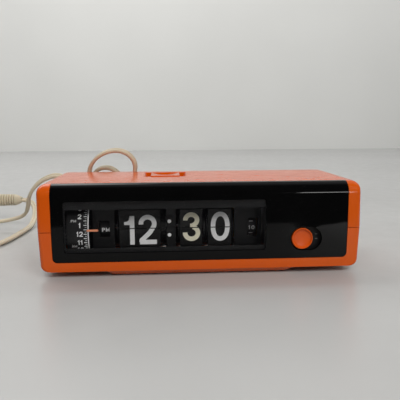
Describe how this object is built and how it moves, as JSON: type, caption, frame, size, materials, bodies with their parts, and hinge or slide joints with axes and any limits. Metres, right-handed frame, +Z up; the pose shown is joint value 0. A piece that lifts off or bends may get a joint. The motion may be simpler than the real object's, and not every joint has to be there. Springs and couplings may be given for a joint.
{
  "type": "flip number clock",
  "caption": "Mains flip number clock in a low plastic case, with flap drums for hours and minutes, an alarm dial, a snooze bar and its cord.",
  "frame": {"origin": "under the middle of the clock, on the surface that its feet rest on", "axes": "+X to the clock's right seen from the front, -Y out of the front panel, +Z up"},
  "size_m": [0.3452, 0.225, 0.0781],
  "materials": {
    "orange_abs": "glossy moulded, very fine grain, slight wear at edges",
    "black_acrylic": "polished, back-painted black with a clear smoked window",
    "dark_plastic": "fine matt",
    "orange_knob": "semi-matt moulded",
    "flap_plastic": "matt film with screen-printed figures",
    "drum_plastic": "matt moulded with printed figures",
    "dial_plastic": "matt with printed white figures and a white rim",
    "white_plastic": "matt moulded",
    "ivory_pvc": "soft satin, slightly yellowed",
    "foot_rubber": "matt",
    "frame_steel": "zinc plated, brushed",
    "spring_steel": "blued spring strip",
    "motor_steel": "drawn can, zinc plated",
    "gear_brass": "machined",
    "coil_brass": "enamelled copper winding on a bobbin",
    "plug_nickel": "nickel plated, slightly scratched",
    "lamp_glass": "clear glass with an orange glow electrode"
  },
  "bodies": {
    "case": {"upper_case": "orange_abs", "lower_case": "orange_abs", "front_panel": "black_acrylic", "base_plinth": "orange_abs", "rubber_foot_1": "foot_rubber", "rubber_foot_2": "foot_rubber", "rubber_foot_3": "foot_rubber", "rubber_foot_4": "foot_rubber", "snooze_spring": "spring_steel", "slide_escutcheon": "dark_plastic", "mask_plate": "dark_plastic", "alarm_pointer": "orange_knob", "flap_finger": "spring_steel", "left_plate": "frame_steel", "middle_plate": "frame_steel", "gear_plate": "frame_steel", "right_plate": "frame_steel", "frame_pillar_1": "frame_steel", "frame_pillar_2": "frame_steel", "frame_pillar_3": "frame_steel", "main_shaft": "frame_steel", "motor": "motor_steel", "buzzer_coil": "coil_brass", "buzzer_reed": "spring_steel", "neon_lamp": "lamp_glass", "terminal_block": "white_plastic", "cord_gland": "ivory_pvc", "cord_lead": "ivory_pvc", "cord_coil": "ivory_pvc", "cord_tail": "ivory_pvc", "plug_strain_relief": "ivory_pvc", "plug_body": "ivory_pvc", "plug_pin_1": "plug_nickel", "plug_pin_2": "plug_nickel"},
    "alarm_switch": {"alarm_knob": "orange_knob", "alarm_slider": "frame_steel"},
    "snooze": {"snooze_bar": "orange_abs"},
    "alarm_wheel": {"alarm_dial": "dial_plastic"},
    "alarm_setter": {"alarm_set_knob": "dark_plastic"},
    "hour_wheel": {"hour_drum": "drum_plastic", "hour_flap_lower": "flap_plastic", "hour_flap_pack": "flap_plastic", "am_pm_drum": "drum_plastic"},
    "hour_leaf": {"hour_flap_upper": "flap_plastic"},
    "tens_wheel": {"tens_drum": "drum_plastic", "tens_flap_lower": "flap_plastic", "tens_flap_pack": "flap_plastic"},
    "tens_leaf": {"tens_flap_upper": "flap_plastic"},
    "ones_wheel": {"ones_drum": "drum_plastic", "ones_flap_lower": "flap_plastic", "ones_flap_pack": "flap_plastic", "ones_gear": "gear_brass"},
    "ones_leaf": {"ones_flap_upper": "flap_plastic"},
    "seconds_wheel": {"seconds_drum": "drum_plastic", "seconds_gear": "gear_brass"},
    "lay_train": {"layshaft": "frame_steel", "layshaft_pinion": "gear_brass", "layshaft_gear": "gear_brass"},
    "motor_rotor": {"motor_pinion": "gear_brass"},
    "time_setter": {"time_set_knob": "dark_plastic"}
  },
  "joints": [
    {"name": "alarm_slide", "type": "slide", "parent": "case", "child": "alarm_switch", "axis": [1, 0, 0], "range_m": [0, 0.0055]},
    {"name": "snooze_press", "type": "slide", "parent": "case", "child": "snooze", "axis": [0, 0, -1], "range_m": [0, 0.002], "stiffness_N_per_m": 300, "springref_m": -0.001},
    {"name": "ones_spin", "type": "hinge", "parent": "case", "child": "ones_wheel", "pos_m": [0, -0.021, 0.0284], "axis": [1, 0, 0], "continuous": true},
    {"name": "tens_spin", "type": "hinge", "parent": "case", "child": "tens_wheel", "pos_m": [0, -0.021, 0.0284], "axis": [1, 0, 0], "continuous": true},
    {"name": "hour_spin", "type": "hinge", "parent": "case", "child": "hour_wheel", "pos_m": [0, -0.021, 0.0284], "axis": [1, 0, 0], "continuous": true},
    {"name": "seconds_spin", "type": "hinge", "parent": "case", "child": "seconds_wheel", "pos_m": [0, -0.021, 0.0284], "axis": [1, 0, 0], "continuous": true},
    {"name": "layshaft_spin", "type": "hinge", "parent": "case", "child": "lay_train", "pos_m": [0, -0.01335, 0.0375], "axis": [1, 0, 0], "continuous": true},
    {"name": "motor_spin", "type": "hinge", "parent": "case", "child": "motor_rotor", "pos_m": [0, -0.01, 0.0284], "axis": [1, 0, 0], "continuous": true},
    {"name": "time_set_spin", "type": "hinge", "parent": "case", "child": "time_setter", "pos_m": [0.034, 0, 0.0435], "axis": [0, 1, 0], "continuous": true},
    {"name": "alarm_dial_spin", "type": "hinge", "parent": "case", "child": "alarm_wheel", "pos_m": [0, -0.021, 0.0284], "axis": [1, 0, 0], "continuous": true},
    {"name": "alarm_set_spin", "type": "hinge", "parent": "case", "child": "alarm_setter", "pos_m": [-0.0895, 0, 0.0435], "axis": [0, 1, 0], "continuous": true},
    {"name": "hour_flap_fall", "type": "hinge", "parent": "hour_wheel", "child": "hour_leaf", "pos_m": [0, -0.0315, 0.0285], "axis": [1, 0, 0], "range_deg": [0, 178]},
    {"name": "tens_flap_fall", "type": "hinge", "parent": "tens_wheel", "child": "tens_leaf", "pos_m": [0, -0.0315, 0.0285], "axis": [1, 0, 0], "range_deg": [0, 178]},
    {"name": "ones_flap_fall", "type": "hinge", "parent": "ones_wheel", "child": "ones_leaf", "pos_m": [0, -0.0315, 0.0285], "axis": [1, 0, 0], "range_deg": [0, 178]}
  ],
  "couplings": [
    {"joint": "tens_spin", "follows": "ones_spin", "ratio": 0.083333},
    {"joint": "hour_spin", "follows": "ones_spin", "ratio": 0.006944},
    {"joint": "seconds_spin", "follows": "ones_spin", "ratio": 10},
    {"joint": "layshaft_spin", "follows": "ones_spin", "ratio": -2.5},
    {"joint": "motor_spin", "follows": "ones_spin", "ratio": -40},
    {"joint": "time_set_spin", "follows": "ones_spin", "ratio": 2.5},
    {"joint": "alarm_set_spin", "follows": "alarm_dial_spin", "ratio": 3}
  ]
}
